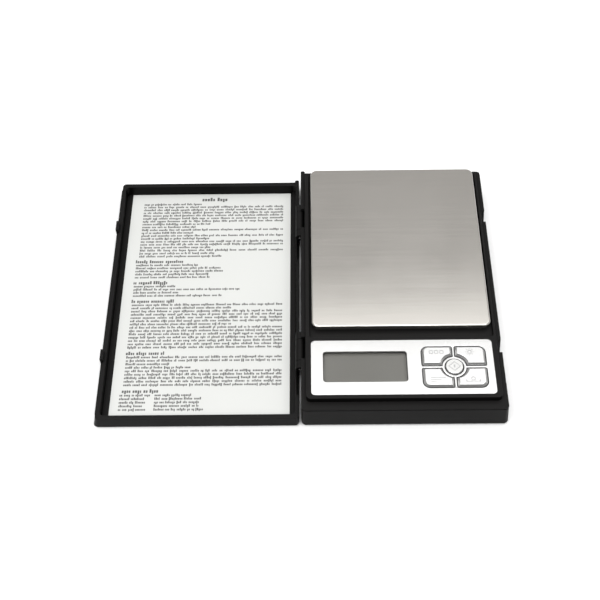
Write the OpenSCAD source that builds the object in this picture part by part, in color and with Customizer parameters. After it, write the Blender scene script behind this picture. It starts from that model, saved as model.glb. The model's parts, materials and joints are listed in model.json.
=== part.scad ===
// Folding pocket gram scale. The cover hinges open like a book.
// Rest pose: cover laid flat beside the base. All sizes in millimetres.
// Origin: centre of the base's underside, on the table. +X runs to the base's
// free edge, +Y to the back, +Z up. The cover lies on the -X side.

/* [Case] */
// Depth of the case, front to back
case_depth = 160; // [158:1:164]
// Width of each half, from the hinge line to the free rim
half_width = 105; // [104:0.5:108]
// Thickness of the closed case, above the table
closed_height = 25; // [25:0.25:26]
// Height of the open cover's rim
cover_rim = 8.5; // [8.25:0.05:8.55]
// How far the free side spreads below the rim
side_flare = 1.2; // [0.8:0.1:1.4]
// Radius of the long bottom edges
edge_round = 2; // [1.5:0.1:2.2]
// Corner radius of the case in plan
corner_r = 2; // [1.6:0.1:3]
// Wall thickness of both shells
wall = 2; // [1.8:0.1:2.2]
// Height of the base's underside over the table
foot_gap = 0.5; // [0.3:0.1:0.6]

/* [Hinge and latch] */
// Distance of the rear hinge and latch from the middle
rear_station = 45.8; // [44:0.2:47]
// Distance of the front hinge and latch from the middle
front_station = 42.2; // [41:0.2:44]
// Radius of the hinge knuckles
knuckle_r = 2.3; // [2.2:0.05:2.4]
// Length of the knuckle on the cover
cover_knuckle = 13; // [12:0.5:14]
// Length of each knuckle on the base
base_knuckle = 4.5; // [4:0.25:5]
// Radius of the hinge pins
pin_r = 0.8; // [0.7:0.05:0.9]
// Width of each latch tab
tab_width = 6.5; // [6:0.25:7]

/* [Platform] */
// Width of the weighing platter
platter_x = 93.4; // [92:0.2:94]
// Depth of the weighing platter
platter_y = 110.1; // [108:0.2:110.2]
// Corner radius of the platter in plan
platter_corner = 3.5; // [3:0.1:4]
// Height of the platter's top over the table
platter_top = 22.5; // [22:0.1:22.6]
// Height of the platter's folded skirt
platter_skirt = 2.9; // [2.4:0.1:2.9]
// Thickness of the platter's sheet
sheet = 0.6; // [0.5:0.1:0.7]

/* [Face panel] */
// Width of the face panel
panel_x = 93.6; // [93:0.2:94]
// Depth of the face panel
panel_y = 32.8; // [32.4:0.1:33]
// Width of the display window
window_x = 43.1; // [42:0.1:44]
// Depth of the display window
window_y = 18.5; // [18:0.1:19]
// Width of the key cluster
keys_x = 32.4; // [31.6:0.1:32.6]
// Depth of the key cluster
keys_y = 24.3; // [23.5:0.1:24.5]
// Radius of the round power key
power_r = 4.5; // [4.4:0.05:4.8]
// Radius of the arc cut out of the four corner keys
arc_r = 6.65; // [6.5:0.05:6.8]
// Travel of the keys
key_travel = 0.6; // [0.4:0.05:0.6]

/* [Battery bay] */
// Radius of a AAA cell
cell_r = 5.25; // [5.2:0.05:5.25]
// Length of a AAA cell over its button
cell_length = 44.5; // [44:0.1:44.5]
// Half the width of the battery door
door_half = 13.5; // [13:0.1:13.6]

/* [Hidden] */
$fn = 48;
eps = 0.05;

// Hinge line and the heights of the two rims
seam = 0.55;
base_mid = (half_width + seam) / 2;
hinge_x = -base_mid;
hinge_z = closed_height / 2;
base_rim = closed_height - cover_rim - 0.1;
half_depth = case_depth / 2;
stations = [-front_station, rear_station];

// Outline of the base in plan
base_left = hinge_x + seam;
base_right = hinge_x + half_width;
case_split = base_rim - 1.2;
groove = 0.6;
case_floor = foot_gap + wall;
end_flare = 0.2;
ear_x = 2.4;
ear_y = 1.6;
ear_root = 4;
ear_round = 0.8;

// Hinge slots, latch channels and the blocks behind them
knuckle_gap = 0.25;
slot_gap = 0.4;
latch_depth = 1.55;
latch_gap = 0.65;
latch_low = 4.5;
hinge_block = [5, 26];
latch_block = [3.9, 11];

// Raised block inside the base's ledge, and the platform well behind the panel
block_top = 20;
block_x = [base_left + 2.55, base_right - 3];
block_y = [-half_depth + 4.6, half_depth - 3.1];
well_floor = 17.5;
well_x = [block_x[0] + 1.9, block_x[1] - 1.2];
well_front = -38.4;

// Face panel, window and keys
panel_mid = [-0.3, -57];
panel_low = 19.4;
panel_top = 20.2;
panel_corner = 2;
window_mid = [-19.35, -56.6];
keys_mid = [26.1, -57.3];
key_gap = 0.2;
key_rib = 1.5;
key_top = 21.4;
key_corner = 3.4;
flange_z = [18.3, 19.3];
flange_out = 0.5;
plate_low = 17.6;
plunger_r = 1.5;

// Circuit board and the display stack on it
board_x = [-42.7, 42.7];
board_y = [-73.4, -41];
board_z = [12, 13.6];
dome_h = 0.6;
dome_r = 2.4;
dome_at = [keys_x / 4 + 2, keys_y / 4 + 1];
plunger_z = [board_z[1] + dome_h + key_travel + eps, flange_z[0] + eps];
glass_z = [15.9, 17.4];
lens_z = [17.45, 18.55];
board_bosses = [for (x = [-40, 5.9, 41], y = [-71.4, -42.6]) [x, y]];
boss_r = 1.6;

// Platform and load cell
platter_mid = [0.2, 21.7];
beam_x = 6;
beam_y = [platter_mid[1] - 32, platter_mid[1] + 32];
beam_z = [5, 12];
base_screw_y = [beam_y[0] + 5.5, beam_y[0] + 12.5];
load_screw_y = [beam_y[1] - 11.5, beam_y[1] - 4.5];
load_mid = (load_screw_y[0] + load_screw_y[1]) / 2;
load_post = [14, 15.4];
pad_low = 4;
beam_screw_low = 1.4;
arm = 7;
load_gap = 0.35;
spacer_top = 15.2;
carrier_z = [19.8, 21.9];
screw_seat = 19;

// Battery bay
bay_mid = 25.5;
bay_half = 12;
bay_y = [22.5, 75.5];
bay_roof = 13.9;
door_z = [foot_gap, 1.75, 2.6];
cell_z = 8.25;
cell_pitch = 10.8;
contact = 0.5;
button_h = 0.8;

bay_wall = 4.5;
bay_end = 4;
tongue = 1;
door_gap = 0.2;
door_tip = 1;
contact_x = [0.8, 11];
contact_z = [4, 12.5];

// Screws and feet
corner_screws = [for (x = [-46.3, 46.3], y = [-70, 70]) [x, y]];
post_top = 9;
post_r = 3.2;
case_screw_z = [2, 4, 15];
foot_r = 4.4;
foot_pocket = 0.65;
foot_fit = 0.1;
screw_r = 1.25;
head_r = 2.5;
board_screw_r = 0.7;
beam_screw_r = 1.5;
beam_head_r = 2.6;

// Cover
rim_inset = 0.4;
tray_floor = 1.6;
tray_margin = 2.6;
step_wide = 1.65;
step_top = 3.1;
card_thick = 0.15;
tab_z = [5, cover_rim + 3.2];

// Colours
black = [0.13, 0.13, 0.13];
silver = [0.9, 0.9, 0.9];
steel = [0.68, 0.67, 0.64];
green = [0.1, 0.35, 0.2];

// ---- Shapes used by several parts ----

module rounded_rect(size, r) {
    square([size[0] - 2 * r, size[1]], center = true);
    square([size[0], size[1] - 2 * r], center = true);
    for (sx = [-1, 1], sy = [-1, 1])
        translate([sx * (size[0] / 2 - r), sy * (size[1] / 2 - r)]) circle(r = r);
}

// A plate between two x, two y and two z values, with round corners in plan
module slab(x, y, z, r = 0) {
    size = [x[1] - x[0], y[1] - y[0]];
    translate([(x[0] + x[1]) / 2, (y[0] + y[1]) / 2, z[0]])
        linear_extrude(z[1] - z[0])
            if (r > 0) rounded_rect(size, r);
            else square(size, center = true);
}

// A plate given by its middle and size
module plate(mid, size, z, r = 0) {
    slab([mid[0] - size[0] / 2, mid[0] + size[0] / 2],
         [mid[1] - size[1] / 2, mid[1] + size[1] / 2], z, r);
}

module drum(at, r, z) {
    translate([at[0], at[1], z[0]]) cylinder(r = r, h = z[1] - z[0]);
}

// A drum lying along y, about the point [x, z]
module drum_y(at, r, y) {
    translate([at[0], y[1], at[1]]) rotate([90, 0, 0]) cylinder(r = r, h = y[1] - y[0]);
}

// Solid half of the case: straight on the hinge side, spreading on the free side,
// with its long bottom edges rounded. Rim at z[1], outer face at z[0].
module shell_body(z, free_rim) {
    free_wide = base_right + side_flare;
    thin = 0.02;
    hull() {
        slab([base_left, free_rim], [-half_depth, half_depth], [z[1] - thin, z[1]], corner_r, $fn = 32);
        for (a = [0:30:90]) {
            inset = edge_round * (1 - cos(a));
            level = z[0] + edge_round * (1 - sin(a));
            slab([base_left + inset, free_wide - inset],
                 [-half_depth - end_flare + inset, half_depth + end_flare - inset],
                 [level, level + thin], corner_r, $fn = 32);
        }
    }
}

// The short rib at the back end of the spine
module spine_ear(z) {
    slab([base_left, base_left + ear_x], [half_depth - ear_root, half_depth + ear_y], z, ear_round);
}

// Mirrors a shape from the base's side of the hinge line to the cover's side
module on_cover_side() {
    translate([2 * hinge_x, 0, 0]) mirror([1, 0, 0]) children();
}

// Closed tube through a list of rings, each with the same number of points in order
module ring_tube(rings) {
    sides = len(rings[0]);
    last = len(rings) - 1;
    walls = [for (i = [0:last - 1], k = [0:sides - 1])
        let (next = (k + 1) % sides)
        [i * sides + next, (i + 1) * sides + next, (i + 1) * sides + k, i * sides + k]];
    start = [for (k = [0:sides - 1]) k];
    end = [for (k = [sides - 1:-1:0]) last * sides + k];
    polyhedron([for (ring = rings) each ring], concat(walls, [start], [end]));
}

// A wire of radius r along a list of points, running mostly along -y
module wire(points, r) {
    last = len(points) - 1;
    sides = 8;
    ring_tube([for (i = [0:last])
        let (way = points[min(i + 1, last)] - points[max(i - 1, 0)],
             across = cross(way, [0, 0, 1]) / norm(cross(way, [0, 0, 1])),
             up = cross(across, way) / norm(way))
        [for (k = [0:sides - 1])
            points[i] - r * cos(360 * k / sides) * across + r * sin(360 * k / sides) * up]]);
}

// A spring along +z whose coils widen by spread
module coil(r, spread, height, turns, wire_r) {
    steps = 14 * turns;
    sides = 6;
    ring_tube([for (i = [0:steps])
        let (t = i / steps, a = 360 * turns * t, radius = r + spread * t)
        [for (k = [0:sides - 1])
            let (b = 360 * k / sides)
            [(radius + wire_r * cos(b)) * cos(a), (radius + wire_r * cos(b)) * sin(a),
             height * t + wire_r * sin(b)]]]);
}

// ---- Base casing ----

module hinge_slot(y, z) {
    half = cover_knuckle / 2 + knuckle_gap;
    slab([base_left - 1, hinge_x + knuckle_r + slot_gap], [y - half, y + half], z);
}

module latch_channel(y, z) {
    half = tab_width / 2 + latch_gap;
    slab([base_right - latch_depth, base_right + 2 * side_flare + 1], [y - half, y + half], z);
}

module base_knuckles(y) {
    start = cover_knuckle / 2 + knuckle_gap;
    for (side = [-1, 1]) {
        span = side > 0 ? [y + start, y + start + base_knuckle]
                        : [y - start - base_knuckle, y - start];
        drum_y([hinge_x, hinge_z], knuckle_r, span);
        slab([hinge_x, base_left + 1], span, [hinge_z - knuckle_r, hinge_z + knuckle_r]);
    }
}

module door_opening(half, z) {
    slab([bay_mid - half, bay_mid + half],
         [bay_y[0] - door_tip - door_gap, half_depth + door_tip + 1], z);
}

module lower_case() {
    bay_outer = bay_half + bay_wall;
    color(black) difference() {
        union() {
            difference() {
                shell_body([foot_gap, case_split], base_right);
                slab([base_left + wall, base_right - wall],
                     [-half_depth + wall + 0.2, half_depth - wall - 0.2],
                     [case_floor, case_split + 1], 2.5);
            }
            spine_ear([foot_gap + edge_round, case_split]);
            for (y = stations) {
                slab([base_left + wall - eps, base_left + hinge_block[0]],
                     [y - hinge_block[1] / 2, y + hinge_block[1] / 2],
                     [case_floor - eps, case_split]);
                slab([base_right - latch_block[0], base_right - wall + eps],
                     [y - latch_block[1] / 2, y + latch_block[1] / 2],
                     [case_floor - eps, case_split]);
                base_knuckles(y);
            }
            for (at = corner_screws) drum(at, post_r + 0.8, [case_floor - eps, post_top]);
            slab([bay_mid - bay_outer, bay_mid + bay_outer],
                 [bay_y[0] - bay_end, half_depth - wall], [case_floor - eps, bay_roof + 1.1]);
            slab([-beam_x - 2, beam_x + 2], [beam_y[0] - 1, base_screw_y[1] + 5.5],
                 [case_floor - eps, pad_low]);
        }
        for (y = stations) {
            hinge_slot(y, [hinge_z - knuckle_r - slot_gap, case_split + 1]);
            latch_channel(y, [latch_low, case_split + 1]);
            drum_y([hinge_x, hinge_z], pin_r + 0.01, [y - cover_knuckle, y + cover_knuckle]);
        }
        for (at = corner_screws) {
            drum(at, foot_r + foot_fit, [-1, foot_gap + foot_pocket + eps]);
            drum(at, head_r + 0.2, [0, case_screw_z[1]]);
            drum(at, screw_r + 0.15, [0, post_top + 1]);
        }
        slab([bay_mid - bay_half, bay_mid + bay_half], bay_y, [foot_gap, bay_roof]);
        door_opening(door_half + door_gap, [0, door_z[1] - 0.1 + eps]);
        door_opening(door_half + tongue + door_gap, [door_z[1] - 0.1, door_z[2] + 0.15]);
        for (y = base_screw_y) drum([0, y], beam_screw_r + 0.05, [beam_screw_low - 0.1, pad_low + 0.1]);
    }
}

module upper_case() {
    color(black) difference() {
        union() {
            slab([base_left + groove, base_right - groove],
                 [-half_depth + groove, half_depth - groove],
                 [case_split, case_split + groove + eps], corner_r - groove);
            slab([base_left, base_right], [-half_depth, half_depth],
                 [case_split + groove, base_rim], corner_r);
            slab(block_x, block_y, [base_rim - eps, block_top], 2.5);
            spine_ear([case_split + groove, base_rim]);
            for (at = corner_screws) drum(at, post_r, [post_top + eps, base_rim]);
        }
        slab([well_x[0], well_x[1]], [well_front, half_depth], [well_floor, block_top + 1], 1.2);
        slab([well_x[0], well_x[1]], [half_depth - 10, half_depth], [well_floor, block_top + 1]);
        difference() {
            slab([block_x[0] + 1.8, block_x[1] - 1.8], [block_y[0] + 1.8, well_front - 1.8],
                 [case_split - 1, plate_low]);
            for (at = board_bosses) drum(at, boss_r, [0, closed_height]);
            for (at = corner_screws) drum(at, post_r, [0, closed_height]);
        }
        plate(panel_mid, [panel_x + 0.2, panel_y + 0.2], [panel_low, block_top + 1], panel_corner + 0.1);
        plate(window_mid, [window_x + 0.6, window_y + 0.6], [plate_low - 1, panel_low + 1]);
        plate(window_mid, [window_x + 3.5, window_y + 3.5], [plate_low - 1, lens_z[1] + eps]);
        plate(keys_mid, [keys_x + 1.8, keys_y + 1.8], [plate_low - 1, panel_low + 1]);
        plate([platter_mid[0], load_mid], [load_post[0] + 3.4, load_post[1] + 3.2],
              [case_split - 1, well_floor + 1]);
        for (y = stations) {
            hinge_slot(y, [case_split - 1, base_rim + 1]);
            latch_channel(y, [case_split - 1, base_rim + 1]);
        }
        for (at = corner_screws) drum(at, screw_r + 0.02, [post_top, case_screw_z[2] + 0.6]);
        for (at = board_bosses) drum(at, board_screw_r + 0.02, [board_z[1], plate_low - 0.4]);
    }
    color(black) for (at = board_bosses) difference() {
        drum(at, boss_r, [board_z[1], case_split + eps]);
        drum(at, board_screw_r + 0.02, [board_z[1] - 1, plate_low]);
    }
}

// ---- Face panel, display and keys ----

// One corner key's outline in the cluster's first quadrant, grown by grow
module key_outline(grow) {
    low = key_rib / 2 + key_gap - grow;
    far = [keys_x / 2 + grow, keys_y / 2 + grow];
    r = key_corner + grow;
    difference() {
        union() {
            translate([low, low]) square([far[0] - low - r, far[1] - low]);
            translate([low, low]) square([far[0] - low, far[1] - low - r]);
            translate([far[0] - r, far[1] - r]) circle(r = r);
        }
        circle(r = arc_r - grow);
    }
}

module in_quadrant(sx, sy) {
    translate([keys_mid[0], keys_mid[1], 0])
        mirror([sx < 0 ? 1 : 0, 0, 0]) mirror([0, sy < 0 ? 1 : 0, 0]) children();
}

module corner_key(sx, sy) {
    color(silver) in_quadrant(sx, sy) {
        translate([0, 0, flange_z[0]]) linear_extrude(key_top - flange_z[0]) key_outline(0);
        translate([0, 0, flange_z[0]])
            linear_extrude(flange_z[1] - flange_z[0]) key_outline(flange_out);
        drum(dome_at, plunger_r, plunger_z);
    }
}

module power_key() {
    color(silver) {
        drum(keys_mid, power_r, [flange_z[0], key_top]);
        drum(keys_mid, power_r + flange_out, flange_z);
        drum(keys_mid, plunger_r, plunger_z);
    }
}

module face_panel() {
    color(silver) difference() {
        plate(panel_mid, [panel_x, panel_y], [panel_low, panel_top], panel_corner);
        plate(window_mid, [window_x, window_y], [panel_low - 1, panel_top + 1], 1.2);
        for (sx = [-1, 1], sy = [-1, 1])
            in_quadrant(sx, sy) translate([0, 0, panel_low - 1]) linear_extrude(3) key_outline(key_gap);
        drum(keys_mid, power_r + key_gap, [panel_low - 1, panel_top + 1]);
    }
}

module display_lens() {
    color([0.8, 0.85, 0.8, 0.3])
        plate(window_mid, [window_x + 3.3, window_y + 3.3], lens_z);
}

module display_glass() {
    color([0.52, 0.53, 0.5])
        plate(window_mid, [window_x + 1.9, window_y + 3.5], glass_z);
}

module display_backlight() {
    color("white") plate(window_mid, [window_x, window_y - 1.1], [board_z[1], glass_z[0] - 0.1]);
}

module display_connectors() {
    color("dimgray") for (side = [-1, 1])
        plate([window_mid[0], window_mid[1] + side * 9.9], [window_x - 1, 1.8],
              [board_z[1], glass_z[0]]);
}

module circuit_board() {
    color(green) difference() {
        slab(board_x, board_y, board_z, 1);
        for (at = board_bosses) drum(at, board_screw_r + 0.1, [board_z[0] - 1, board_z[1] + 1]);
    }
}

module circuit_chips() {
    color("black") {
        drum([-12, -57], 5, [board_z[0] - 1, board_z[0]]);
        plate([8, -57], [6, 5], [board_z[0] - 1.5, board_z[0]]);
        plate([20, -50], [4, 4], [board_z[0] - 1.2, board_z[0]]);
    }
}

module key_domes() {
    color(steel) {
        for (sx = [-1, 1], sy = [-1, 1])
            in_quadrant(sx, sy)
                drum(dome_at, dome_r, [board_z[1], board_z[1] + dome_h]);
        drum(keys_mid, dome_r, [board_z[1], board_z[1] + dome_h]);
    }
}

// ---- Load cell and weighing platform ----

module load_cell() {
    mid_z = (beam_z[0] + beam_z[1]) / 2;
    color([0.78, 0.79, 0.8]) difference() {
        slab([-beam_x, beam_x], beam_y, beam_z);
        for (side = [-1, 1])
            translate([-beam_x - 1, platter_mid[1] + side * arm, mid_z])
                rotate([0, 90, 0]) cylinder(r = 2.5, h = 2 * beam_x + 2);
        plate([0, platter_mid[1]], [2 * beam_x + 2, 2 * arm], [mid_z - 0.9, mid_z + 0.9]);
        for (y = base_screw_y) drum([0, y], beam_screw_r + 0.1, [0, closed_height]);
        for (y = load_screw_y) drum([0, y], beam_screw_r + 0.25, [0, closed_height]);
    }
}

module load_cell_pad() {
    color("gray") difference() {
        slab([-beam_x, beam_x], [beam_y[0], base_screw_y[1] + 4], [pad_low, beam_z[0]]);
        for (y = base_screw_y) drum([0, y], beam_screw_r + 0.1, [0, closed_height]);
    }
}

module load_cell_screws() {
    color("silver") for (y = base_screw_y) {
        drum([0, y], beam_screw_r, [beam_screw_low, beam_z[1] + eps]);
        drum([0, y], beam_head_r, [beam_z[1], beam_z[1] + 1.8]);
    }
}

module strain_gauges() {
    color([0.9, 0.88, 0.8]) for (side = [-1, 1])
        plate([0, platter_mid[1] + side * arm], [8, 6.5], [beam_z[1], beam_z[1] + 0.6], 1);
}

// Four thin leads from the gauges to the underside of the board
module load_cell_leads() {
    colours = ["red", "black", "green", "white"];
    r = 0.45;
    over = beam_z[1] + 1.1;
    under = board_z[0] - r;
    for (i = [0:3]) {
        x = 2 * i - 3;
        aside = x - 1.5 * beam_x;
        color(colours[i]) wire([
            [x, platter_mid[1] - arm - 1.5, over],
            [aside, beam_y[0] + 18, over],
            [aside, board_y[1] + 11, over],
            [aside, board_y[1] + 4, under],
            [aside, board_y[1] - 3, under]], r);
    }
}

module platform_spacer() {
    span = [load_screw_y[0] - 4, load_screw_y[1] + 4];
    color("gray") difference() {
        slab([-beam_x, beam_x], span, [beam_z[1] + load_gap, spacer_top]);
        for (y = load_screw_y) drum([0, y], beam_screw_r + 0.1, [0, closed_height]);
    }
}

module platform_carrier() {
    size = [platter_x - 2 * sheet - 0.4, platter_y - 2 * sheet - 0.4];
    web = carrier_z[0] + 0.8;
    color(black) difference() {
        union() {
            plate(platter_mid, size, carrier_z, 2.8);
            plate([platter_mid[0], load_mid], load_post, [spacer_top, carrier_z[1] - 0.2]);
        }
        for (sx = [-1, 1], sy = [-1, 1])
            plate([platter_mid[0] + sx * size[0] / 4, platter_mid[1] + sy * size[1] / 4],
                  [size[0] / 2 - 16, size[1] / 2 - 8], [0, web]);
        for (y = load_screw_y) {
            drum([0, y], beam_screw_r + 0.1, [0, closed_height]);
            drum([0, y], beam_head_r + 0.2, [screw_seat, closed_height]);
        }
    }
}

module platform_screws() {
    color("silver") for (y = load_screw_y) {
        drum([0, y], beam_screw_r, [beam_z[0] + 1.6, screw_seat + eps]);
        drum([0, y], beam_head_r, [screw_seat, screw_seat + 1.6]);
    }
}

module weighing_platter() {
    color(steel) difference() {
        plate(platter_mid, [platter_x, platter_y], [platter_top - platter_skirt, platter_top],
              platter_corner);
        plate(platter_mid, [platter_x - 2 * sheet, platter_y - 2 * sheet],
              [platter_top - platter_skirt - 1, platter_top - sheet], platter_corner - sheet);
    }
}

// ---- Batteries ----

// A AAA cell along y, its button towards +y when face is 1
module cell(x, face) {
    body = cell_length - 1;
    low = face > 0 ? bay_y[1] - contact - button_h - cell_length : bay_y[0] + contact + button_h;
    color("dimgray") {
        drum_y([x, cell_z], cell_r, [low + (face > 0 ? 0 : 1), low + (face > 0 ? 0 : 1) + body]);
        drum_y([x, cell_z], 1.9, face > 0 ? [low + body - eps, low + cell_length] : [low, low + 1 + eps]);
    }
}

// A sprung contact and a button contact; the spring's tip points away from the plate
module contact_spring(x, y, way) {
    length = bay_y[1] - bay_y[0] - 2 * contact - button_h - cell_length - 0.4;
    translate([x, y, cell_z]) rotate([way > 0 ? -90 : 90, 0, 0]) coil(3.4, -1.4, length, 4, 0.3);
}

module battery_bridge() {
    y = bay_y[1] - contact;
    color(steel) {
        slab([bay_mid - contact_x[1], bay_mid + contact_x[1]], [y, bay_y[1]], contact_z);
        contact_spring(bay_mid + cell_pitch / 2, y, -1);
        drum_y([bay_mid - cell_pitch / 2, cell_z], 2, [y - button_h, y + eps]);
    }
}

module battery_terminals() {
    y = bay_y[0] + contact;
    color(steel) {
        slab([bay_mid - contact_x[1], bay_mid - contact_x[0]], [bay_y[0], y], contact_z);
        slab([bay_mid + contact_x[0], bay_mid + contact_x[1]], [bay_y[0], y], contact_z);
        contact_spring(bay_mid - cell_pitch / 2, y, 1);
        drum_y([bay_mid + cell_pitch / 2, cell_z], 2, [y - eps, y + button_h]);
    }
}

// Two leads from the battery bay to the underside of the board
module battery_leads() {
    r = 0.55;
    level = 10;
    under = board_z[0] - r;
    for (side = [-1, 1]) {
        x = bay_mid + side * 4;
        color(side < 0 ? "black" : "red") wire([
            [x, bay_y[0] - bay_end, level],
            [x, bay_y[0] - 15, level],
            [x - 3, board_y[1] + 7, level],
            [x - 3, board_y[1] + 4, under],
            [x - 3, board_y[1] - 3, under]], r);
    }
}

module battery_door() {
    grip_y = bay_y[1] - 9.5;
    span = [bay_y[0] - door_tip, half_depth + 1];
    color(black) difference() {
        intersection() {
            shell_body([foot_gap, case_split], base_right);
            union() {
                slab([bay_mid - door_half, bay_mid + door_half], span, [0, door_z[1] + eps]);
                slab([bay_mid - door_half - tongue, bay_mid + door_half + tongue], span,
                     [door_z[1], door_z[2]]);
            }
        }
        for (i = [0:3])
            plate([bay_mid, grip_y + 2.4 * i], [15, 1], [0, foot_gap + 0.4]);
    }
}

// ---- Pins, screws and feet ----

module hinge_pin(y) {
    reach = cover_knuckle / 2 + knuckle_gap + base_knuckle;
    color("silver") drum_y([hinge_x, hinge_z], pin_r, [y - reach, y + reach]);
}

module case_screws() {
    color("silver") for (at = corner_screws) {
        drum(at, screw_r, [case_screw_z[1] - eps, case_screw_z[2]]);
        drum(at, head_r, [case_screw_z[0], case_screw_z[1]]);
    }
}

module board_screws() {
    color("silver") for (at = board_bosses) {
        drum(at, board_screw_r, [board_z[0] - eps, plate_low - 0.6]);
        drum(at, 2 * board_screw_r, [board_z[0] - 1, board_z[0]]);
    }
}

module foot(i) {
    color([0.2, 0.2, 0.2]) drum(corner_screws[i], foot_r, [0, foot_gap + foot_pocket]);
}

// ---- Cover ----

module cover_knuckle_lug(y) {
    half = cover_knuckle / 2;
    span = [y - half, y + half];
    difference() {
        union() {
            drum_y([hinge_x, hinge_z], knuckle_r, span);
            slab([hinge_x - knuckle_r, hinge_x], span, [cover_rim - 2, hinge_z]);
        }
        drum_y([hinge_x, hinge_z], pin_r + 0.05, [y - half - 1, y + half + 1]);
    }
}

module cover_shell() {
    tray_y = [-half_depth + tray_margin, half_depth - tray_margin];
    inner_right = hinge_x - seam - wall;
    free_rim = hinge_x - half_width;
    color(black) {
        difference() {
            union() {
                on_cover_side() {
                    shell_body([0, cover_rim], base_right - rim_inset);
                    spine_ear([edge_round, cover_rim]);
                }
                slab([free_rim, free_rim + 1], [-half_depth + 3.1, half_depth - 5], [3.5, cover_rim]);
                for (y = stations)
                    plate([free_rim + 0.5, y], [1.6, tab_width], tab_z);
            }
            slab([free_rim + 2.5, inner_right], tray_y, [tray_floor, cover_rim + eps], 2);
            for (y = stations)
                slab([inner_right + 0.8, hinge_x], [y - 24, y - 9], [4, closed_height]);
        }
        slab([inner_right - step_wide, inner_right + eps], tray_y, [tray_floor - 0.1, step_top]);
        for (y = stations) cover_knuckle_lug(y);
    }
}

module instruction_card() {
    color("whitesmoke")
        slab([hinge_x - half_width + 5.8, hinge_x - 5.6], [-half_depth + 4, half_depth - 2.8],
             [tray_floor, tray_floor + card_thick]);
}

lower_case();
upper_case();
face_panel();
display_lens();
display_glass();
display_backlight();
display_connectors();
circuit_board();
circuit_chips();
key_domes();
load_cell();
load_cell_pad();
load_cell_screws();
strain_gauges();
load_cell_leads();
battery_leads();
cell(bay_mid - cell_pitch / 2, 1);  // battery_cell_left
cell(bay_mid + cell_pitch / 2, -1);  // battery_cell_right
battery_bridge();
battery_terminals();
hinge_pin(stations[0]);  // hinge_pin_front
hinge_pin(stations[1]);  // hinge_pin_rear
case_screws();
board_screws();
foot(0);  // foot_front_left
foot(1);  // foot_rear_left
foot(2);  // foot_front_right
foot(3);  // foot_rear_right
platform_carrier();
weighing_platter();
platform_spacer();
platform_screws();
corner_key(-1, 1);  // count_key
corner_key(1, 1);  // light_key
corner_key(-1, -1);  // mode_key
corner_key(1, -1);  // tare_key
power_key();
cover_shell();
instruction_card();
battery_door();
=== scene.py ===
import json
import math
import random
import bpy
import bmesh
from mathutils import Matrix, Vector


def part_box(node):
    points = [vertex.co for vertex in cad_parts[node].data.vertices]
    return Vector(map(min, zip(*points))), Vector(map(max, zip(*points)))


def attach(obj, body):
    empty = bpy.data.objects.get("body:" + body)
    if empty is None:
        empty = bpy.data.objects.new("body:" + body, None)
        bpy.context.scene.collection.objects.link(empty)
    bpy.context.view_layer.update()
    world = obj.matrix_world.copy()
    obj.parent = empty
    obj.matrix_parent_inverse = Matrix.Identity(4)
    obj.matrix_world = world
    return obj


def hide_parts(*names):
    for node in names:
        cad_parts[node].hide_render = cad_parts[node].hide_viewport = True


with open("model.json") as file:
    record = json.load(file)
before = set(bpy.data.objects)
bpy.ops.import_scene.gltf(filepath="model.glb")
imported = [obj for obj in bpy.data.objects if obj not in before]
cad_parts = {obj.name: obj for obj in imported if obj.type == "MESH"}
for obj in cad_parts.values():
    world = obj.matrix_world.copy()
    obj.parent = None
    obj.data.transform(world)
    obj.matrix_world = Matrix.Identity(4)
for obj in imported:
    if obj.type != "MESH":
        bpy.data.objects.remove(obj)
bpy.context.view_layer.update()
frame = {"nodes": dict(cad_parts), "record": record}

MM = 0.001
scene = bpy.context.scene
nodes = frame["nodes"]


# ---- Shaders ----

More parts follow.
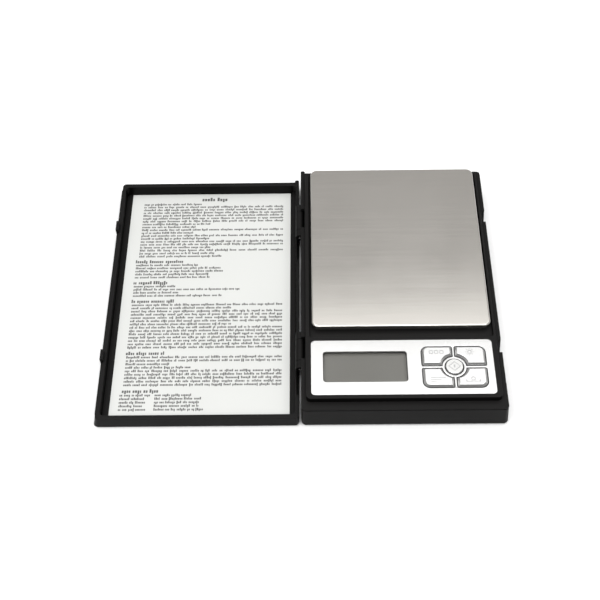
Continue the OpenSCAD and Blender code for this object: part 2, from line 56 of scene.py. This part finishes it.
class Shader:
    """A material made of a Principled shader and the nodes that feed it."""

    def __init__(self, name, **sockets):
        self.material = bpy.data.materials.new(name)
        self.material.use_nodes = True
        self.tree = self.material.node_tree
        self.surface = self.tree.nodes["Principled BSDF"]
        for socket, value in sockets.items():
            self.surface.inputs[socket.replace("_", " ")].default_value = value
        coordinates = self.node("TexCoord").outputs
        self.place, self.facing = coordinates["Object"], coordinates["Normal"]

    def node(self, kind, **inputs):
        made = self.tree.nodes.new("ShaderNode" + kind)
        for socket, value in inputs.items():
            self.feed(value, made.inputs[socket.replace("_", " ")])
        return made

    def feed(self, value, socket):
        if isinstance(value, bpy.types.NodeSocket):
            self.tree.links.new(value, socket)
        else:
            socket.default_value = value

    def stretched(self, scale):
        return self.node("Mapping", Vector=self.place, Scale=scale).outputs["Vector"]

    def noise(self, scale, detail=2.0, roughness=0.5, stretch=None):
        place = self.stretched(stretch) if stretch else self.place
        made = self.node("TexNoise", Vector=place, Scale=scale, Detail=detail, Roughness=roughness)
        return made.outputs["Fac"]

    def cells(self, scale):
        return self.node("TexVoronoi", Vector=self.place, Scale=scale).outputs["Distance"]

    def between(self, value, low, high, to_low=0.0, to_high=1.0):
        made = self.node("MapRange", Value=value)
        for name, number in zip(("From Min", "From Max", "To Min", "To Max"),
                                (low, high, to_low, to_high)):
            made.inputs[name].default_value = number
        return made.outputs["Result"]

    def swing(self, noise, low=0.0, high=1.0):
        """A noise, most of which lies between 0.3 and 0.7, made to run from low to high."""
        return self.between(noise, 0.3, 0.7, low, high)

    def math(self, operation, a, b):
        made = self.node("Math")
        made.operation = operation
        self.feed(a, made.inputs[0])
        self.feed(b, made.inputs[1])
        return made.outputs["Value"]

    def mix(self, amount, low, high):
        made = self.node("Mix")
        made.data_type = "RGBA"
        self.feed(amount, made.inputs["Factor"])
        for value, socket in ((low, made.inputs[6]), (high, made.inputs[7])):
            self.feed(value if isinstance(value, bpy.types.NodeSocket) else (*value, 1.0), socket)
        return made.outputs[2]

    def bump(self, height, depth, strength=1.0, under=None):
        made = self.node("Bump", Height=height, Distance=depth, Strength=strength)
        if under:
            self.feed(under, made.inputs["Normal"])
        return made.outputs["Normal"]

    def edges(self, radius):
        """0 on flat faces and 1 on edges, from how far a rounded normal turns."""
        sharpness = 4.0
        rounded = self.node("Bevel", Radius=radius)
        rounded.samples = 6
        true = self.node("NewGeometry").outputs["Normal"]
        dot = self.node("VectorMath")
        dot.operation = "DOT_PRODUCT"
        self.feed(rounded.outputs["Normal"], dot.inputs[0])
        self.feed(true, dot.inputs[1])
        turned = self.math("SUBTRACT", 1.0, dot.outputs["Value"])
        return self.math("MULTIPLY", turned, sharpness)

    def sheen_from_above(self, reach):
        """Painted sheen from above: 1 on open faces that look up, 0 on walls and in corners, which
        keep the darker tone as painted shade.
        """
        open_air = self.node("AmbientOcclusion", Distance=reach)
        open_air.samples = 8
        parts = self.node("SeparateXYZ", Vector=self.facing)
        upward = self.between(parts.outputs["Z"], 0.5, 1.0)
        return self.math("MULTIPLY", upward, self.between(open_air.outputs["AO"], 0.15, 0.7))

    def finish(self, color=None, roughness=None, normal=None):
        for value, name in ((color, "Base Color"), (roughness, "Roughness"), (normal, "Normal")):
            if value is not None:
                self.feed(value, self.surface.inputs[name])
        return self.material


def moulded_plastic(name, color, worn_and_glint, roughness, ior, grain, dust_and_sheen=None):
    """Plastic from a sparked mould: fine pebbled grain, faint flow marks, and edges lighter, partly
    from rubbed wear and partly as a painted highlight.

    The grain is the pebbles' height in metres; the last colour, if given, is a painted sheen on
    open upward faces, as light from above would give them, while hollows keep the darker tone as
    painted shade."""
    wear_and_glint_radius, sheen_reach, flow_height = 0.0005, 0.003, 0.00006
    s = Shader(name, IOR=ior)
    pebbles = s.noise(2200, 3.0, 0.6)
    flow = s.noise(35, 3.0, 0.5)
    patchiness = s.between(s.noise(260, 4.0, 0.7), 0.35, 0.65, 0.5, 1.3)
    # Edges are lightened partly as rubbed wear and partly as a painted highlight standing in for
    # the glint of the rounded edges.
    rub_and_glint = s.math("MULTIPLY", s.edges(wear_and_glint_radius), patchiness)
    tone = s.mix(s.between(flow, 0.35, 0.7), color, [c * 1.25 for c in color])
    # Open upward faces get a painted sheen in place of the light from above; occluded hollows stay
    # darker as painted shade.
    if dust_and_sheen:
        tone = s.mix(s.sheen_from_above(sheen_reach), tone, dust_and_sheen)
    shade = s.mix(rub_and_glint, tone, worn_and_glint)
    rough = s.math("ADD", s.swing(flow, roughness - 0.05, roughness + 0.05),
                   s.swing(pebbles, -0.03, 0.03))
    normal = s.bump(pebbles, grain, 0.5, s.bump(flow, flow_height, 0.3))
    return s.finish(shade, rough, normal)


def brushed_metal(name, color, roughness, along):
    """Sheet metal brushed along x (0) or y (1): long fine scratches in tone, gloss and height."""
    s = Shader(name, Metallic=1.0)
    fine, broad = [2600.0, 2600.0, 20.0], [500.0, 500.0, 10.0]
    fine[along], broad[along] = 30.0, 6.0
    lines = s.noise(1.0, 4.0, 0.65, fine)
    bands = s.noise(1.0, 2.0, 0.5, broad)
    smudge = s.noise(22, 3.0, 0.55)
    tone = s.mix(s.swing(lines), [c * 0.93 for c in color], color)
    rough = s.math("ADD", s.swing(bands, roughness - 0.008, roughness + 0.012),
                   s.between(smudge, 0.35, 0.65, -0.015, 0.025))
    return s.finish(tone, rough, s.bump(lines, 0.000004, 0.25))


def plated_plastic(name, color, roughness):
    """Bright metallic coating on moulded plastic, with a very faint orange peel."""
    s = Shader(name, Metallic=0.85, Coat_Weight=0.3, Coat_Roughness=0.08)
    peel = s.noise(420, 2.0, 0.5)
    cloud = s.noise(40, 2.0, 0.5)
    tone = s.mix(s.between(cloud, 0.35, 0.7), [c * 0.975 for c in color], color)
    return s.finish(tone, s.swing(peel, roughness - 0.02, roughness + 0.02),
                    s.bump(peel, 0.000004, 0.25))


def soft_rubber(name, color):
    """Dull rubber or soft coating with a fine grain and a little pale dust."""
    s = Shader(name, IOR=1.45)
    grain = s.noise(3000, 3.0, 0.6)
    dust_and_sheen = s.noise(160, 4.0, 0.6)
    tone = s.mix(s.between(dust_and_sheen, 0.45, 0.75), color, [c + 0.03 for c in color])
    return s.finish(tone, s.swing(grain, 0.72, 0.86), s.bump(grain, 0.00004, 0.5))


def plain_metal(name, color, roughness):
    """Plated or drawn metal of the small inner parts."""
    s = Shader(name, Metallic=1.0)
    marks = s.noise(1500, 4.0, 0.65)
    tone = s.mix(s.swing(marks), [c * 0.85 for c in color], color)
    return s.finish(tone, s.swing(marks, roughness - 0.05, roughness + 0.08),
                    s.bump(marks, 0.00001, 0.4))


def printed_board(name):
    """Solder mask over copper tracks, with the glass weave just showing."""
    s = Shader(name, IOR=1.5)
    weave = s.cells(900)
    tracks = s.noise(260, 0.0, 0.5, (1.0, 6.0, 1.0))
    copper = s.between(tracks, 0.52, 0.54)
    tone = s.mix(copper, (0.008, 0.06, 0.025), (0.02, 0.13, 0.05))
    return s.finish(tone, s.between(weave, 0.0, 0.6, 0.3, 0.4), s.bump(weave, 0.00003, 0.3))


def card_face(name):
    """White printed label stock under a satin film."""
    s = Shader(name, IOR=1.45, Coat_Weight=0.15, Coat_Roughness=0.25)
    fibre = s.noise(1400, 4.0, 0.6)
    tint = s.noise(14, 2.0, 0.5)
    tone = s.mix(s.swing(tint), (0.535, 0.542, 0.527), (0.56, 0.567, 0.551))
    return s.finish(tone, s.swing(fibre, 0.42, 0.5), s.bump(fibre, 0.000015, 0.4))


def ink(name):
    """Dark print, uneven where the paper drank it."""
    s = Shader(name, IOR=1.4)
    spread = s.noise(6000, 3.0, 0.6)
    tone = s.mix(s.between(spread, 0.3, 0.75), (0.05, 0.05, 0.05), (0.14, 0.14, 0.135))
    return s.finish(tone, s.swing(spread, 0.5, 0.6))


def display_cell(name):
    """Liquid crystal cell: warm grey, with the faint grain of its polarising film."""
    s = Shader(name, IOR=1.25)
    film = s.noise(1.0, 2.0, 0.5, (2400.0, 700.0, 1.0))
    haze = s.noise(60, 2.0, 0.5)
    tone = s.mix(s.swing(haze), (0.146, 0.143, 0.132), (0.16, 0.157, 0.146))
    return s.finish(tone, s.swing(film, 0.22, 0.3), s.bump(film, 0.000004, 0.3))


def clear_window(name):
    """Clear plastic window: see-through, with a reflection that grows towards grazing angles."""
    s = Shader(name)
    s.material.surface_render_method = "BLENDED"
    through = s.node("BsdfTransparent", Color=(0.94, 0.94, 0.935, 1.0))
    fresnel = s.node("Fresnel", IOR=1.25)
    gloss = s.node("BsdfGlossy", Roughness=0.05)
    seen = s.node("MixShader")
    s.feed(fresnel.outputs["Fac"], seen.inputs["Fac"])
    s.feed(through.outputs["BSDF"], seen.inputs[1])
    s.feed(gloss.outputs["BSDF"], seen.inputs[2])
    s.feed(seen.outputs["Shader"], s.tree.nodes["Material Output"].inputs["Surface"])
    return s.material


# The black casing gets a painted sheen on its open upward faces, and its edges get rubbed wear plus
# a painted highlight.
black_case = moulded_plastic(
    "black_case", color=(0.0022, 0.0021, 0.002), worn_and_glint=(0.02, 0.0195, 0.019),
    roughness=0.38, ior=1.15, grain=0.00006, dust_and_sheen=(0.0105, 0.0102, 0.01))
black_frame = moulded_plastic(
    "black_frame", color=(0.01, 0.01, 0.01), worn_and_glint=(0.03, 0.03, 0.03),
    roughness=0.5, ior=1.45, grain=0.00003)
milky = moulded_plastic(
    "milky", color=(0.75, 0.75, 0.73), worn_and_glint=(0.8, 0.8, 0.8),
    roughness=0.4, ior=1.45, grain=0.00002)
resin = moulded_plastic(
    "resin", color=(0.012, 0.012, 0.012), worn_and_glint=(0.04, 0.04, 0.04),
    roughness=0.5, ior=1.5, grain=0.00003)
cell_sleeve = moulded_plastic(
    "cell_sleeve", color=(0.02, 0.035, 0.06), worn_and_glint=(0.1, 0.12, 0.14),
    roughness=0.25, ior=1.5, grain=0.00001)
silver = plated_plastic("silver", color=(0.61, 0.61, 0.605), roughness=0.2)
silver_matt = plated_plastic("silver_matt", color=(0.58, 0.58, 0.57), roughness=0.26)
silver_mark = plated_plastic("silver_mark", color=(0.42, 0.42, 0.42), roughness=0.4)
platter_steel = brushed_metal("platter_steel", (0.64, 0.617, 0.58), roughness=0.2, along=0)
milled = brushed_metal("milled", (0.72, 0.73, 0.74), roughness=0.32, along=1)
plated = plain_metal("plated", color=(0.72, 0.71, 0.68), roughness=0.25)
screw_steel = plain_metal("screw_steel", color=(0.55, 0.55, 0.53), roughness=0.3)
foot_rubber = soft_rubber("foot_rubber", color=(0.012, 0.012, 0.012))
contact_rubber = soft_rubber("contact_rubber", color=(0.05, 0.05, 0.05))
# Very dark rubber for the keypad mat: its collars stand in for the shade in the key gaps.
gap_shade_rubber = soft_rubber("gap_shade_rubber", color=(0.006, 0.006, 0.006))
sheath = soft_rubber("sheath", color=(0.25, 0.015, 0.012))
gauge_coat = soft_rubber("gauge_coat", color=(0.62, 0.58, 0.48))
board = printed_board("board")
card_stock = card_face("card_stock")
print_ink = ink("print_ink")
lcd = display_cell("lcd")
window = clear_window("window")

# Each of the record's material slots and its finish
FINISHES = {
    "black_case": black_case, "black_frame": black_frame, "spacer_plate": milled,
    "silver_panel": silver, "silver_key": silver, "clear_window": window, "display_cell": lcd,
    "light_guide": milky, "contact_rubber": contact_rubber, "board": board, "chip_resin": resin,
    "contact_metal": plated, "load_cell_alloy": milled, "gauge_coating": gauge_coat,
    "screw_steel": screw_steel, "pin_steel": plated, "wire_sheath": sheath,
    "cell_sleeve": cell_sleeve, "platter_steel": platter_steel, "foot_rubber": foot_rubber,
    "card": card_stock,
}

for part in frame["record"]["subparts"]:
    made = nodes[part["node"]]
    made.data.materials.clear()
    made.data.materials.append(FINISHES[part["material_slot"]])


# ---- Mesh helpers ----

def box_mm(node):
    """A CAD node's lowest and highest corners, in millimetres."""
    return [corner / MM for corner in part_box(node)]


def arc(centre, radius, start, end, steps):
    """Points along an arc, its angles in degrees."""
    angles = [math.radians(start + (end - start) * i / steps) for i in range(steps + 1)]
    return [Vector((centre[0] + radius * math.cos(a), centre[1] + radius * math.sin(a)))
            for a in angles]


def rounded_box(low, high, radius, steps=8):
    """A counter-clockwise rectangle with round corners."""
    corners = ((high[0] - radius, low[1] + radius), (high[0] - radius, high[1] - radius),
               (low[0] + radius, high[1] - radius), (low[0] + radius, low[1] + radius))
    return [point for i, corner in enumerate(corners)
            for point in arc(corner, radius, 90 * i - 90, 90 * i, steps)]


def circle(centre, radius, steps=48):
    """A counter-clockwise circle."""
    return arc(centre, radius, 0, 360, steps)[:-1]


def inset(outline, depth):
    """Moves a counter-clockwise outline inwards by depth, or outwards where depth is below 0."""
    moved = []
    for before, here, after in zip(outline[-1:] + outline[:-1], outline, outline[1:] + outline[:1]):
        a, b = (here - before).normalized(), (after - here).normalized()
        left = Vector((-a.y, a.x))
        way = (left + Vector((-b.y, b.x))).normalized()
        moved.append(here + way * depth / max(0.5, way.dot(left)))
    return moved


def quarter(radius, steps=4):
    """A rounded upper edge as (inset, height) pairs, its heights below the top."""
    turns = [math.pi / 2 * i / steps for i in range(steps + 1)]
    return [(radius * (1 - math.cos(t)), radius * (math.sin(t) - 1)) for t in turns]


def stack(bm, outline, levels, closed=True):
    """Walls through an outline at several (inset, z) levels, with faces at both ends if closed.

    The outline is a list of points, or a function that gives the points for an inset."""
    at = outline if callable(outline) else lambda depth: inset(outline, depth)
    rings = [[bm.verts.new((*(point * MM), z * MM)) for point in at(depth)]
             for depth, z in levels]
    for low, high in zip(rings, rings[1:]):
        for i in range(len(low)):
            bm.faces.new((low[i - 1], low[i], high[i], high[i - 1]))
    if closed:
        bm.faces.new(rings[0])
        bm.faces.new(rings[-1])
    return rings


def ring_edges(bm, ring):
    """The edges of a closed ring of vertices."""
    return [bm.edges.get((ring[i - 1], ring[i])) for i in range(len(ring))]


def pierced_plate(bm, outline, holes, low, high, radius):
    """A plate with holes from z low to z high, its upper edges rounded by radius."""
    outer = [(0, low)] + [(depth, high + drop) for depth, drop in quarter(radius)]
    inner = [(-depth, z) for depth, z in outer]
    walls = [stack(bm, outline, outer, closed=False)]
    walls += [stack(bm, hole, inner, closed=False) for hole in holes]
    for level in (0, -1):
        rim = [edge for wall in walls for edge in ring_edges(bm, wall[level])]
        bmesh.ops.triangle_fill(bm, use_beauty=True, edges=rim, normal=(0, 0, 1))


def even_normals(made):
    """Weights the shading by face size, so that large flat faces look flat beside round edges."""
    made.modifiers.new("even_normals", "WEIGHTED_NORMAL").keep_sharp = True


def new_piece(name, bm, material, body, crease=42):
    """Makes a piece that rides on a body; edges sharper than crease degrees stay sharp."""
    mesh = bpy.data.meshes.new(name)
    bmesh.ops.recalc_face_normals(bm, faces=bm.faces)
    bm.to_mesh(mesh)
    bm.free()
    mesh.shade_smooth()
    mesh.set_sharp_from_angle(angle=math.radians(crease))
    piece = bpy.data.objects.new(name, mesh)
    scene.collection.objects.link(piece)
    mesh.materials.append(material)
    even_normals(piece)
    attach(piece, body)
    return piece


def soften(node, width):
    """Rounds the sharp edges of a CAD node that stays, by width in millimetres."""
    made = nodes[node]
    weld = made.modifiers.new("weld", "WELD")
    weld.merge_threshold = 0.03 * MM
    flat = made.modifiers.new("flat_faces", "DECIMATE")
    flat.decimate_type = "DISSOLVE"
    flat.angle_limit = math.radians(0.6)
    bevel = made.modifiers.new("round_edges", "BEVEL")
    bevel.width = width * MM
    bevel.segments = 2
    bevel.limit_method = "ANGLE"
    bevel.angle_limit = math.radians(38)
    bevel.use_clamp_overlap = False
    even_normals(made)
    made.data.shade_smooth()


# ---- Platform ----

def build_platter():
    """Pressed steel sheet: flat top, rounded edge and a folded skirt."""
    low, high = box_mm("weighing_platter")
    sheet, bend, hem, corner = 0.6, 0.9, 0.08, 3.7
    outline = rounded_box(low, high, corner, 10)
    levels = [(sheet + 0.45, high.z - sheet), (sheet + 0.12, high.z - sheet - 0.14),
              (sheet, high.z - bend), (sheet, low.z + hem), (sheet - hem, low.z),
              (hem, low.z), (0, low.z + hem)]
    levels += [(depth, high.z + drop) for depth, drop in quarter(bend, steps=6)]
    bm = bmesh.new()
    stack(bm, outline, levels)
    piece = new_piece("platter", bm, platter_steel, "platform", 60)
    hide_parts("weighing_platter")


# ---- Face panel and keys ----

# The corner keys and the side of the middle that each is on, in x and y
KEYS = {"count": (-1, 1), "light": (1, 1), "mode": (-1, -1), "tare": (1, -1)}
key_low, key_high = box_mm("power_key")
key_centre = Vector(((key_low.x + key_high.x) / 2, (key_low.y + key_high.y) / 2))
corner_low, corner_high = (Vector(corner[:2]) - key_centre for corner in box_mm("light_key"))
panel_low, panel_high = box_mm("face_panel")

# Sizes in millimetres: how far a key's flange stands out under the panel and where it lies,
# the arc around the round key, the gap around a cap, and the height of the raised signs
FLANGE = 0.5
FLANGE_LOW, FLANGE_HIGH = 18.3, 19.3
ARC_RADIUS = 6.65
KEY_GAP = 0.5
KEY_CORNER = 3.4
MARK_RISE = 0.07
CORNER_TOP = key_high.z - MARK_RISE
ROUND_TOP = CORNER_TOP - 0.45


def corner_outline(side):
    """A corner key from above, for any inset: a rounded quarter cut out around the round key."""
    first = corner_low.x + FLANGE
    reach = corner_high - Vector((FLANGE, FLANGE))
    inner_corner, least_corner = 0.7, 0.15

    def at(depth):
        near, radius = first + depth, ARC_RADIUS + depth
        far = reach - Vector((depth, depth))
        small, large = max(inner_corner - depth, least_corner), KEY_CORNER - depth
        lean = math.degrees(math.asin(near / radius))
        points = (arc((far.x - small, near + small), small, -90, 0, 4)
                  + arc((far.x - large, far.y - large), large, 0, 90, 12)
                  + arc((near + small, far.y - small), small, 90, 180, 4)
                  + arc((0, 0), radius, 90 - lean, lean, 14))
        points = [Vector((p.x * side[0], p.y * side[1])) + key_centre for p in points]
        return points if side[0] * side[1] > 0 else points[::-1]

    return at


def round_outline():
    """The round key seen from above, for any inset."""
    radius = (key_high.x - key_low.x) / 2 - FLANGE
    return lambda depth: circle(key_centre, radius - depth)


def key_cap(name, outline, body, node, slope, top, material):
    """A plated cap on a wider flange: short upright walls, then a slope up to a flat top."""
    crown, stem_radius = 0.2, 1.5
    shoulder = panel_high.z + 0.05
    bm = bmesh.new()
    levels = [(0.2, FLANGE_LOW), (-FLANGE, FLANGE_LOW), (-FLANGE, FLANGE_HIGH), (0, FLANGE_HIGH),
              (0, shoulder - 0.1), (0.03, shoulder - 0.03), (0.1, shoulder + 0.06)]
    levels += [(slope, top - crown * 0.6), (slope + 0.08, top - crown * 0.22),
               (slope + 0.2, top - crown * 0.04), (slope + 0.32, top)]
    stack(bm, outline, levels)
    middle = sum(outline(0), Vector((0, 0))) / len(outline(0))
    stack(bm, circle(middle, stem_radius, 24), [(0, key_low.z), (0, FLANGE_LOW)])
    piece = new_piece(name, bm, material, body, 30)
    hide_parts(node)


def key_mark(name, body, top, shapes):
    """Low raised shapes on a key's top, each an outline with the outline of its hole or None."""
    bm = bmesh.new()
    sunk, high, soft = top - 0.05, top + MARK_RISE, 0.03
    for shape, hole in shapes:
        if hole:
            pierced_plate(bm, shape, [hole], sunk, high, soft)
        else:
            stack(bm, shape, [(0, sunk), (0, high - soft), (soft, high)])
    new_piece(name, bm, silver_mark, body, 30)


def bar(centre, wide, tall, radius=0.12):
    """A small rectangle with round corners."""
    half = Vector((wide / 2, tall / 2))
    return rounded_box(centre - half, centre + half, radius, 3)


def build_marks():
    """Generic signs instead of lettering: boxes, a sun, bars, an empty pan and a diamond."""
    stroke, ring_radius = 0.42, 1.15
    middle = Vector((corner_high.x * 0.5 + 0.5, corner_high.y * 0.5 + 1.9))

    def on_key(key, x=0, y=0):
        """A point near a corner key's middle, moved by x and y."""
        side = KEYS[key]
        return key_centre + Vector((side[0] * middle.x + x, side[1] * middle.y + y))

    def hollow(shape):
        return shape, inset(shape, stroke)

    def solid(shape):
        return shape, None

    boxes = [hollow(bar(on_key("count", step), 2.1, 2.3, 0.6)) for step in (-2.7, 0, 2.7)]
    key_mark("count_mark", "count_button", CORNER_TOP, boxes)

    sun, ray_reach, ray_radius = on_key("light", -0.6), 1.85, 0.3
    turns = [math.radians(45 * i) for i in range(8)]
    rays = [solid(circle(sun + Vector((math.cos(a), math.sin(a))) * ray_reach, ray_radius, 12))
            for a in turns]
    key_mark("light_mark", "light_button", CORNER_TOP,
             [hollow(circle(sun, ring_radius, 28))] + rays)

    longest = 7.6
    bars = [solid(bar(on_key("mode", (wide - longest) / 2, step), wide, stroke))
            for step, wide in ((1.1, longest), (0, 5.4), (-1.1, 3.2))]
    key_mark("mode_mark", "mode_button", CORNER_TOP, bars)

    pan = [solid(bar(on_key("tare", 0, -1.2), 7.4, stroke))]
    pan += [solid(bar(on_key("tare", end, -0.6), stroke, 1.4)) for end in (-3.5, 3.5)]
    key_mark("tare_mark", "tare_button", CORNER_TOP,
             [hollow(circle(on_key("tare", 0, 0.45), ring_radius, 28))] + pan)

    diamond = [key_centre + Vector(p) for p in ((3.3, 0), (0, 2.9), (-3.3, 0), (0, -2.9))]
    drop = bar(key_centre, 0.8, 1.9, 0.35)
    key_mark("power_mark", "power_button", ROUND_TOP, [hollow(diamond), solid(drop)])


def build_keys():
    """Four corner keys with sloping edges, and the lower round key with a steep one."""
    for name, side in KEYS.items():
        key_cap(name + "_cap", corner_outline(side), name + "_button", name + "_key", 0.9,
                CORNER_TOP, silver)
    key_cap("power_cap", round_outline(), "power_button", "power_key", 0.15, ROUND_TOP,
            silver_matt)


def build_panel():
    """Plated plate with a window and five key holes, over a black mat whose collars fill the gaps
    as a dark sheet painted in for the gaps' shade.
    """
    lens_low, lens_high = box_mm("display_lens")
    border = Vector((1.65, 1.65, 0))
    opening = rounded_box(lens_low + border, lens_high - border, 1.7)
    caps = [corner_outline(side) for side in KEYS.values()] + [round_outline()]
    bm = bmesh.new()
    pierced_plate(bm, rounded_box(panel_low, panel_high, 2),
                  [opening] + [cap(-KEY_GAP) for cap in caps], panel_low.z, panel_high.z, 0.16)
    piece = new_piece("panel_plate", bm, silver, "base")
    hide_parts("face_panel")

    clear, mat_margin = 0.08, 0.4
    bm = bmesh.new()
    reach = corner_high + Vector((mat_margin, mat_margin))
    around = rounded_box(key_centre - reach, key_centre + reach, KEY_CORNER)
    pierced_plate(bm, around, [cap(-clear) for cap in caps], panel_low.z - 0.08,
                  panel_low.z - 0.02, 0.02)
    # Collars of very dark rubber rise in the key gaps to just under the panel's top as painted
    # shade in the gaps.
    for cap in caps:
        pierced_plate(bm, cap(0.02 - KEY_GAP), [cap(-clear)], panel_low.z - 0.06,
                      panel_high.z - 0.14, 0.03)
    new_piece("keypad_mat", bm, gap_shade_rubber, "base")

    lip, lap = 0.15, 0.25
    bm = bmesh.new()
    pierced_plate(bm, inset(opening, -lap), [inset(opening, lip)], lens_high.z + 0.02,
                  panel_low.z - 0.05, 0.25)
    new_piece("display_bezel", bm, black_frame, "base")


# ---- Instruction card ----

# Heights of the title's, headings' and text's letters, and the distance between rows
TITLE, HEADING, TEXT = 1.75, 1.4, 0.98
ROW_PITCH = 2.165
# Each block of rows under the title: how many, and how they are filled
CARD_BLOCKS = ((19, "text"), (5, "list"), (4, "list"), (14, "text"), (9, "text"), (5, "columns"))


def print_card():
    """Rows of word-like blocks in place of the card's print: a title, paragraphs and lists."""
    low, high = box_mm("instruction_card")
    pick = random.Random(5)
    bm = bmesh.new()
    z = high.z + 0.012
    left, right = low.x + 7.2, high.x - 4.2
    full_rows, heading_drop = 0.76, 4.15

    def block(x, y, wide, below, above):
        corners = ((x, y + below), (x + wide, y + below), (x + wide, y + above), (x, y + above))
        bm.faces.new([bm.verts.new((cx * MM, cy * MM, z * MM)) for cx, cy in corners])

    def spell(letters, size):
        """One word-like run of blocks, each with its width, foot and height."""
        made = []
        for _ in range(letters):
            wide = size * pick.uniform(0.46, 0.76)
            tall = size * pick.choice((1.06, 1.06, 1.1, 1.55))
            made.append((wide, -0.42 * size if pick.random() < 0.1 else 0, tall))
        return made

    def row(x, y, end, size, spread=False):
        """A line of words from x towards end, its gaps widened to reach the end if spread."""
        letter_gap, letter_pitch = size * 0.2, size * 0.81
        words, gaps, reach = [], [], x
        while True:
            letters = pick.choice((2, 3, 4, 4, 5, 6, 7, 9))
            if reach + letters * letter_pitch > end:
                break
            words.append(spell(letters, size))
            gaps.append(size * pick.uniform(0.5, 0.85))
            reach += sum(wide + letter_gap for wide, _, _ in words[-1]) + gaps[-1]
        spare = end - reach + gaps[-1] if spread else 0
        for word, gap in zip(words, gaps):
            for wide, below, tall in word:
                block(x, y, wide, below, tall)
                x += wide + letter_gap
            x += gap + spare / max(1, len(words) - 1)

    y = high.y - 5.4
    centre = (left + right) / 2
    row(centre - 7, y, centre + 13, TITLE)
    y -= 0.75
    for number, (lines, shape) in enumerate(CARD_BLOCKS):
        margin = left
        if number:
            y -= heading_drop
            margin -= 1.2
            row(left - 1.6, y, left + 26, HEADING)
        for _ in range(lines):
            y -= ROW_PITCH
            full = pick.random() < full_rows and shape == "text"
            end = right if full else left + (right - left) * pick.uniform(0.3, 0.75)
            if shape == "columns":
                row(margin - 1.4, y, margin + pick.uniform(8, 16), TEXT)
                row(margin + 17, y, margin + pick.uniform(30, 46), TEXT)
            else:
                row(margin, y, end, TEXT, full)
    new_piece("card_print", bm, print_ink, "cover")


build_platter()
build_keys()
build_marks()
build_panel()
print_card()
for shell in ("lower_case", "upper_case", "cover_shell", "battery_door"):
    soften(shell, 0.18)


# ---- Camera ----

# Its place, its turns down, to the right and about its own axis in degrees, and its lens
CAMERA_AT = (-0.0459, -0.36258, 0.50098)
PITCH, YAW, ROLL = 54.0845, -1.1103, -1.4390
LENS = 66.788


def aim_camera():
    """A camera at the photograph's viewing angle."""
    pitch, yaw, roll = (math.radians(angle) for angle in (PITCH, YAW, ROLL))
    ahead = Vector((math.sin(yaw) * math.cos(pitch), math.cos(yaw) * math.cos(pitch),
                    -math.sin(pitch)))
    level = Vector((math.cos(yaw), -math.sin(yaw), 0))
    up = level.cross(ahead)
    across = level * math.cos(roll) + up * math.sin(roll)
    rise = up * math.cos(roll) - level * math.sin(roll)
    data = bpy.data.cameras.new("camera")
    data.sensor_width = 36
    data.lens = LENS
    data.clip_start = 0.01
    camera = bpy.data.objects.new("camera", data)
    scene.collection.objects.link(camera)
    columns = Matrix((across, rise, -ahead)).transposed().to_4x4()
    camera.matrix_world = Matrix.Translation(CAMERA_AT) @ columns
    scene.camera = camera


aim_camera()


# ---- Floor, world and lights ----

def lay_floor():
    """A plain pale floor."""
    bm = bmesh.new()
    bmesh.ops.create_grid(bm, x_segments=1, y_segments=1, size=3)
    mesh = bpy.data.meshes.new("floor")
    bm.to_mesh(mesh)
    bm.free()
    floor = bpy.data.objects.new("floor", mesh)
    scene.collection.objects.link(floor)
    s = Shader("floor", Roughness=0.9)
    mesh.materials.append(s.finish(s.mix(s.noise(6), (0.84, 0.84, 0.84), (0.86, 0.86, 0.86))))


def soft_box(name, at, size, radiance, facing=(0, 0, 0)):
    """A rectangular area light of the given size and radiance that faces a point."""
    data = bpy.data.lights.new(name, "AREA")
    data.shape = "RECTANGLE"
    data.size, data.size_y = size
    data.energy = radiance * math.pi * size[0] * size[1]
    lamp = bpy.data.objects.new(name, data)
    scene.collection.objects.link(lamp)
    lamp.location = at
    lamp.rotation_mode = "QUATERNION"
    lamp.rotation_quaternion = (Vector(at) - Vector(facing)).to_track_quat("Z", "Y")


def light_world():
    """A surround that is dim behind the camera and brighter beyond the object."""
    dim, bright = 0.1, 0.52
    world = bpy.data.worlds.new("studio")
    scene.world = world
    world.use_nodes = True
    tree = world.node_tree
    place = tree.nodes.new("ShaderNodeTexCoord").outputs["Generated"]
    parts = tree.nodes.new("ShaderNodeSeparateXYZ")
    tree.links.new(place, parts.inputs["Vector"])
    ramp = tree.nodes.new("ShaderNodeMapRange")
    ramp.inputs["From Min"].default_value = -1.0
    ramp.inputs["From Max"].default_value = 0.6
    ramp.inputs["To Min"].default_value = dim
    ramp.inputs["To Max"].default_value = bright
    tree.links.new(parts.outputs["Y"], ramp.inputs["Value"])
    tree.links.new(ramp.outputs["Result"], tree.nodes["Background"].inputs["Strength"])
    tree.nodes["Background"].inputs["Color"].default_value = (1.0, 0.99, 0.975, 1.0)


lay_floor()
light_world()
# The platter and the panel mirror the far and back boxes; the top box lights the black casing
soft_box("far_box", (0.05, 0.465, 0.8), (1.3, 0.09), 1.42, (0.05, 0.465, 0))
soft_box("back_box", (0.05, 0.21, 0.8), (1.3, 0.42), 1.75, (0.05, 0.21, 0))
soft_box("top_box", (-0.1, -0.6, 1.35), (2.2, 0.9), 5.0)
scene.view_settings.view_transform = "Standard"
